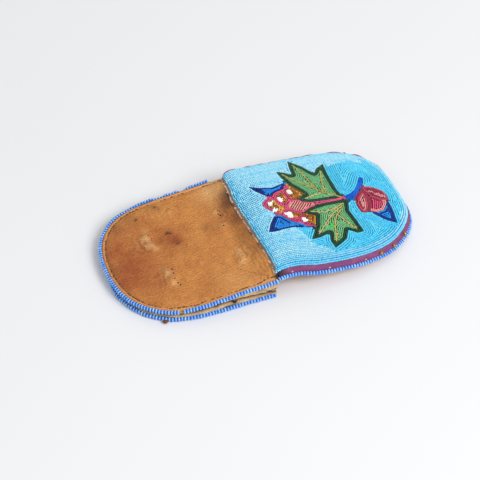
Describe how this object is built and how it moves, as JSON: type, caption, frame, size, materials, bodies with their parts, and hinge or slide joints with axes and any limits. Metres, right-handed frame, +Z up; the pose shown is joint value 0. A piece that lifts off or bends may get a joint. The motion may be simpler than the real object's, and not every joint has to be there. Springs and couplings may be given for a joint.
{
  "type": "beaded belt pouch",
  "caption": "Flat D-shaped hide pouch with rolled bead edging and a padded flap covered in floral seed beadwork, lying back up with the flap folded open.",
  "frame": {"origin": "middle of the pocket's resting face, the underside of the front hide", "axes": "+X from the pocket's rounded bottom towards the flap's tip, +Y across the pouch, +Z up"},
  "size_m": [0.2265, 0.1176, 0.0232],
  "materials": {
    "smoked_hide": "soft smoked hide, matt and grained",
    "suede_welt": "pale suede",
    "flap_lining": "soft hide",
    "padding": "wool padding",
    "bead_cloth": "backing with a raw edge",
    "plum_ribbon": "silk ribbon binding",
    "edge_beads": "glossy glass seed beads",
    "pale_beads": "glossy glass seed beads",
    "deep_beads": "glossy glass seed beads",
    "dark_green_beads": "glossy glass seed beads",
    "green_beads": "glossy glass seed beads",
    "mid_blue_beads": "glossy glass seed beads",
    "navy_beads": "glossy glass seed beads",
    "dark_red_beads": "glossy glass seed beads",
    "rose_beads": "glossy glass seed beads",
    "blush_beads": "glossy glass seed beads",
    "amber_beads": "glossy glass seed beads",
    "brass": "worn brass beads"
  },
  "bodies": {
    "pouch": {"front_panel": "smoked_hide", "back_panel": "smoked_hide", "seam_welt": "suede_welt", "front_edge_beads": "edge_beads", "back_edge_beads": "edge_beads"},
    "flap": {"flap_lining": "flap_lining", "flap_padding": "padding", "binding_ribbon": "plum_ribbon", "beadwork_base": "bead_cloth", "flap_edge_beads": "edge_beads", "ground_pale": "pale_beads", "ground_deep": "deep_beads", "upper_leaf_border": "dark_green_beads", "upper_leaf_blade": "green_beads", "lower_leaf_border": "dark_green_beads", "lower_leaf_blade": "green_beads", "blue_stem": "mid_blue_beads", "bud_left_petal": "dark_red_beads", "bud_right_petal": "dark_red_beads", "bud_heart": "rose_beads", "bud_sepal_border": "navy_beads", "bud_sepal_fill": "mid_blue_beads", "flower_petal_1": "amber_beads", "flower_petal_2": "amber_beads", "flower_petal_3": "amber_beads", "flower_petal_4": "amber_beads", "flower_petal_5": "amber_beads", "flower_tube": "blush_beads", "flower_filament": "rose_beads", "upper_sepal_border": "navy_beads", "upper_sepal_fill": "mid_blue_beads", "lower_sepal_border": "navy_beads", "lower_sepal_fill": "mid_blue_beads", "brass_bead_1": "brass", "brass_bead_2": "brass", "brass_bead_3": "brass", "brass_bead_4": "brass"}
  },
  "joints": [
    {"name": "flap_fold", "type": "hinge", "parent": "pouch", "child": "flap", "pos_m": [0.052, 0, 0.0062], "axis": [0, 1, 0], "range_deg": [0, 173]}
  ]
}
